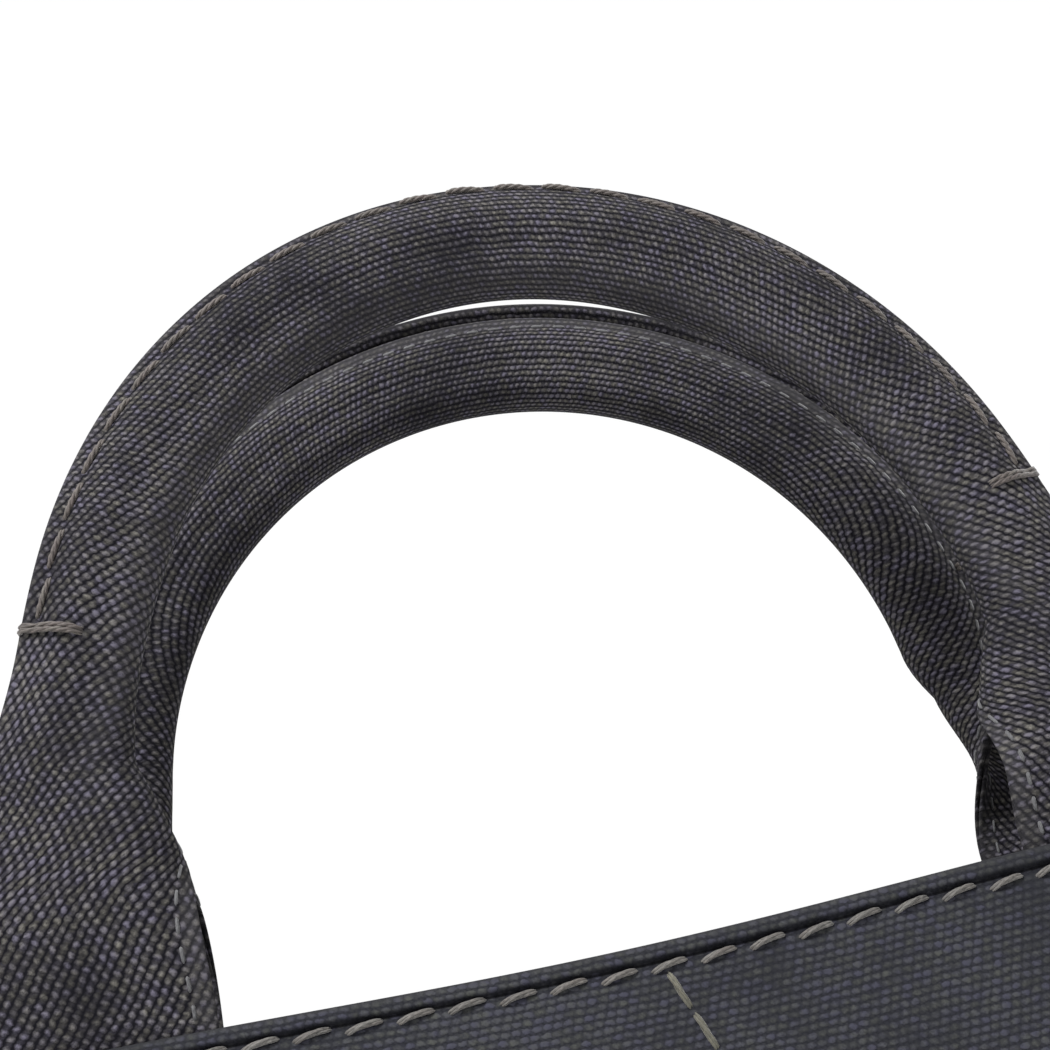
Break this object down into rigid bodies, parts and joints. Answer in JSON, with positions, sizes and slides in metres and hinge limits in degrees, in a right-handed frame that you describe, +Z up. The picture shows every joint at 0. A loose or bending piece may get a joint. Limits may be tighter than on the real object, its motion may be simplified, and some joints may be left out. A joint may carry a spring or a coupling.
{
  "type": "open garden tool bag",
  "caption": "Open-topped tapered canvas bag with a boarded base, an inside tool pocket and a pair of arched, hand-stitched fabric handles.",
  "frame": {"origin": "on the floor, under the middle of the base", "axes": "+X to the right across the width, +Y from the front panel to the back panel, +Z up"},
  "size_m": [0.3814, 0.13, 0.4511],
  "materials": {
    "canvas": "heavy plain-weave canvas, charcoal blue-black, matte, with paler thread crowns",
    "strap": "heavy plain-weave canvas strap, charcoal, matte, slightly faded on the crowns",
    "facing": "plain-weave canvas facing, dark charcoal, matte",
    "lining": "plain cotton lining, dark grey, matte",
    "board": "stiff pressed base board, hidden under the lining",
    "core": "soft cotton piping cord, hidden in the folded strap",
    "thread": "thick waxed thread, taupe brown-grey, slight sheen"
  },
  "bodies": {
    "bag": {"front_panel": "canvas", "back_panel": "canvas", "left_gusset": "canvas", "right_gusset": "canvas", "base_panel": "canvas", "base_board": "board", "base_lining": "lining", "front_lining": "lining", "back_lining": "lining", "left_lining": "lining", "right_lining": "lining", "front_facing": "facing", "back_facing": "facing", "left_facing": "facing", "right_facing": "facing", "front_left_foot": "strap", "front_right_foot": "strap", "back_left_foot": "strap", "back_right_foot": "strap", "tool_pocket": "facing", "pocket_binding": "canvas", "divider_stitching": "thread", "front_hem_stitching": "thread", "back_hem_stitching": "thread", "left_hem_stitching": "thread", "right_hem_stitching": "thread", "front_foot_stitching": "thread", "back_foot_stitching": "thread"},
    "front_handle": {"front_strap": "strap", "front_strap_facing": "facing", "front_core": "core", "front_saddle_stitching": "thread", "front_left_tack": "thread", "front_right_tack": "thread"},
    "back_handle": {"back_strap": "strap", "back_strap_facing": "facing", "back_core": "core", "back_saddle_stitching": "thread", "back_left_tack": "thread", "back_right_tack": "thread"}
  },
  "joints": [
    {"name": "front_handle_swing", "type": "hinge", "parent": "bag", "child": "front_handle", "pos_m": [0, -0.036, 0.29], "axis": [1, 0, 0], "range_deg": [-7, 165]},
    {"name": "back_handle_swing", "type": "hinge", "parent": "bag", "child": "back_handle", "pos_m": [0, 0.036, 0.29], "axis": [-1, 0, 0], "range_deg": [-7, 165]}
  ]
}
